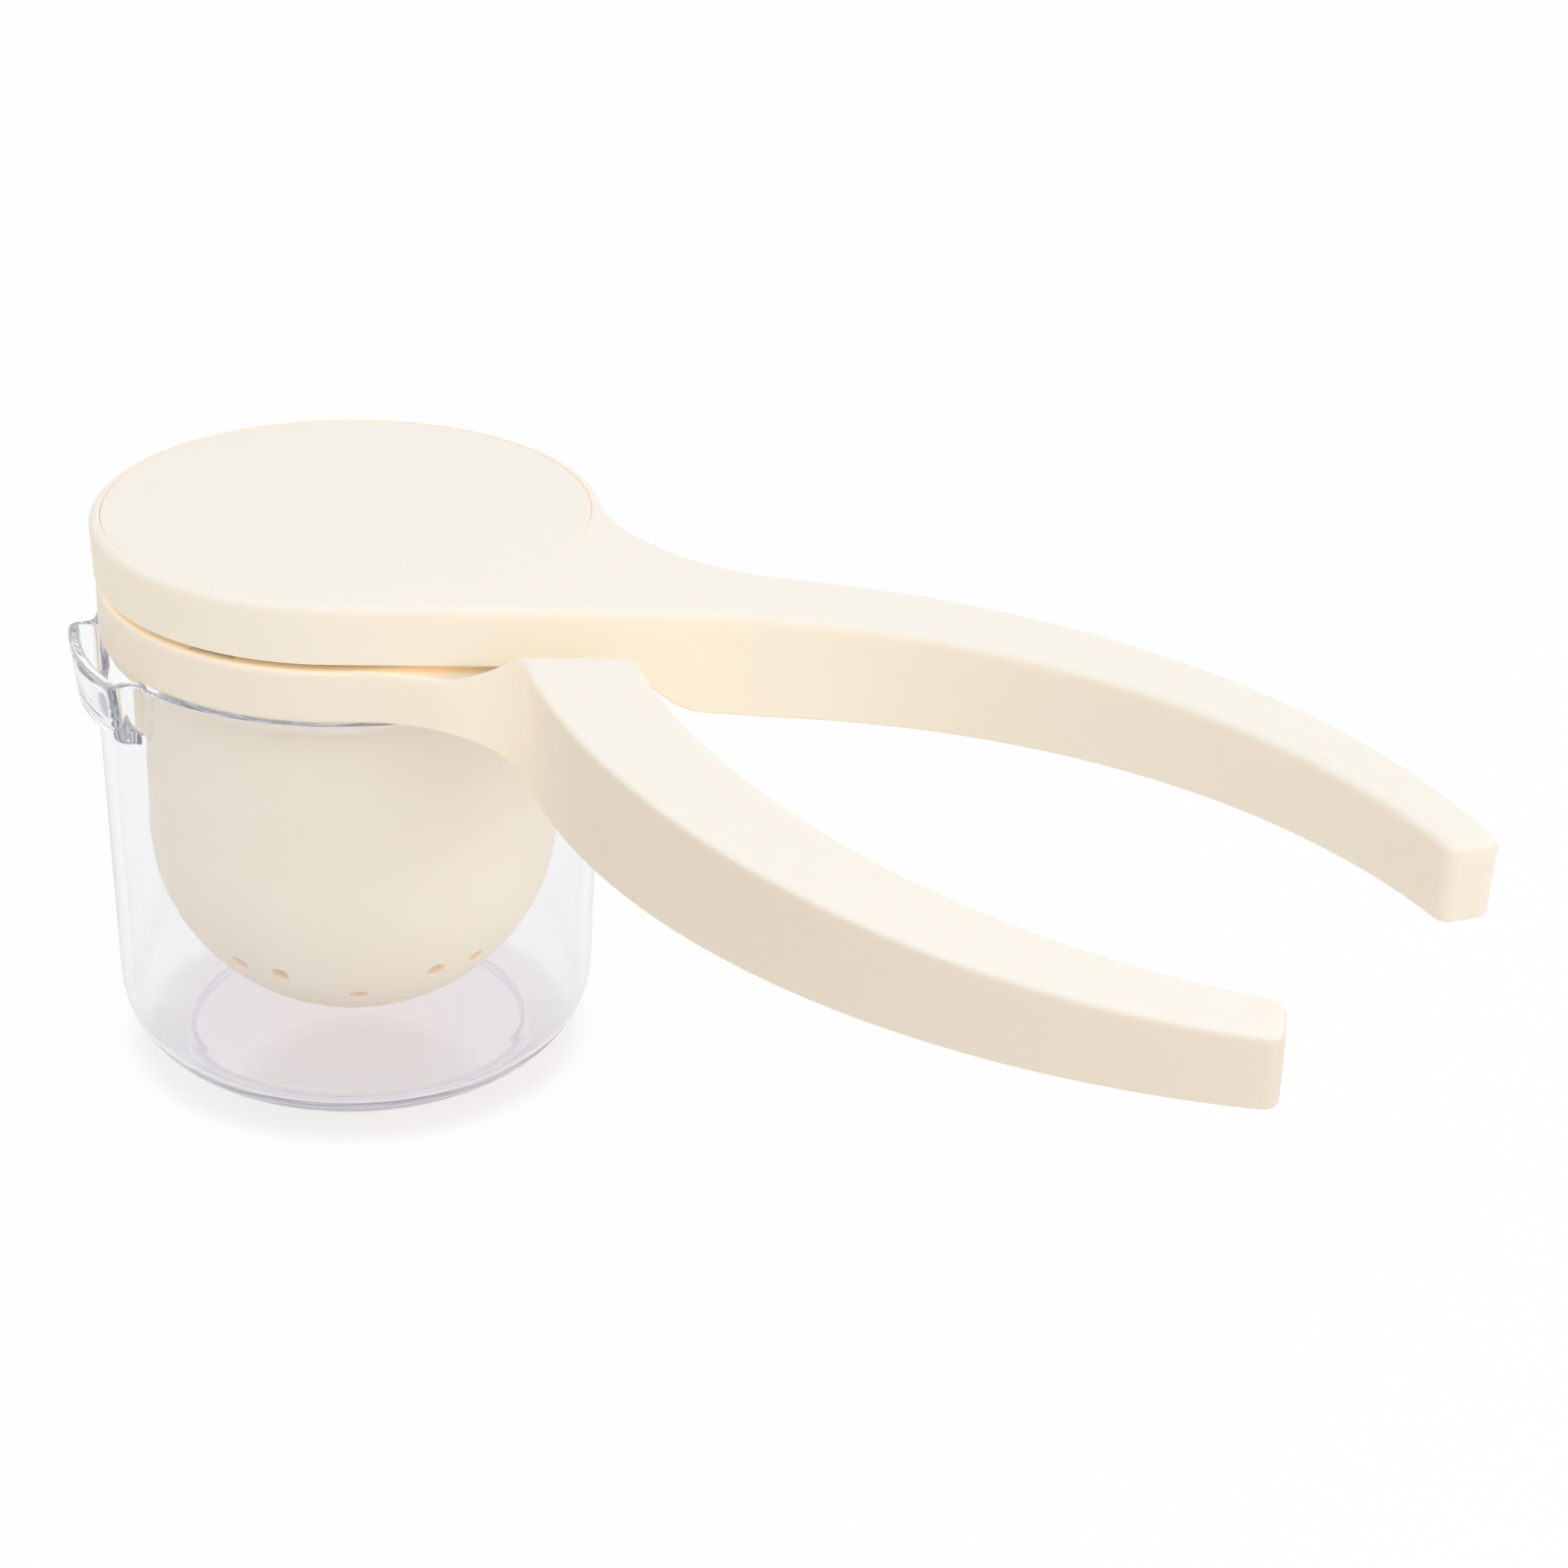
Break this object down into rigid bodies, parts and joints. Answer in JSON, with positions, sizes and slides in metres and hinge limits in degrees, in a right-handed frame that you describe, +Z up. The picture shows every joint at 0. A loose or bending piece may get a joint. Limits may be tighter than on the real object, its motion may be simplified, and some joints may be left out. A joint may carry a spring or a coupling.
{
  "type": "manual rotary juicer",
  "caption": "Hand juicer: clear cup with a pouring lip, strainer on a handled ring, and a handled lid that screws a press head down into it.",
  "frame": {"origin": "centre of the cup's base, on the surface the juicer stands on", "axes": "+Z up along the axis of the cup and the press screw; the bisector of the closed handles points 43.3 degrees from +X towards -Y"},
  "size_m": [0.2265, 0.2146, 0.105],
  "materials": {
    "clear_plastic": "clear polished plastic",
    "cream_plastic": "satin cream plastic",
    "cream_disc": "satin cream plastic, finer grain",
    "silicone": "matt silicone",
    "washer_plastic": "waxy low-friction plastic",
    "steel": "plain stainless steel"
  },
  "bodies": {
    "cup": {"juice_cup": "clear_plastic"},
    "strainer": {"lower_handle_ring": "cream_plastic", "strainer_basket": "cream_plastic", "lower_handle_cover": "cream_plastic", "lower_cover_screw_1": "steel", "lower_cover_screw_2": "steel", "lower_cover_screw_3": "steel"},
    "presser": {"press_head": "cream_plastic", "thrust_washer": "washer_plastic", "retaining_washer": "steel", "swivel_screw": "steel"},
    "lid": {"upper_handle_lid": "cream_plastic", "lid_disc": "cream_disc", "upper_handle_cover": "cream_plastic", "upper_cover_screw_1": "steel", "upper_cover_screw_2": "steel", "upper_cover_screw_3": "steel", "screw_core": "cream_plastic", "core_seal": "silicone", "core_screw_1": "steel", "core_screw_2": "steel", "core_screw_3": "steel", "core_screw_4": "steel"}
  },
  "joints": [
    {"name": "strainer_lift", "type": "slide", "parent": "cup", "child": "strainer", "axis": [0, 0, 1], "range_m": [0, 0.09]},
    {"name": "press_rise", "type": "slide", "parent": "strainer", "child": "presser", "axis": [0, 0, 1], "range_m": [-0.0002, 0.0402]},
    {"name": "lid_turn", "type": "hinge", "parent": "presser", "child": "lid", "pos_m": [0, 0, 0.07], "axis": [0, 0, 1], "range_deg": [-1, 600]}
  ],
  "couplings": [
    {"joint": "press_rise", "follows": "lid_turn", "m_per_rad": 0.0038197}
  ]
}
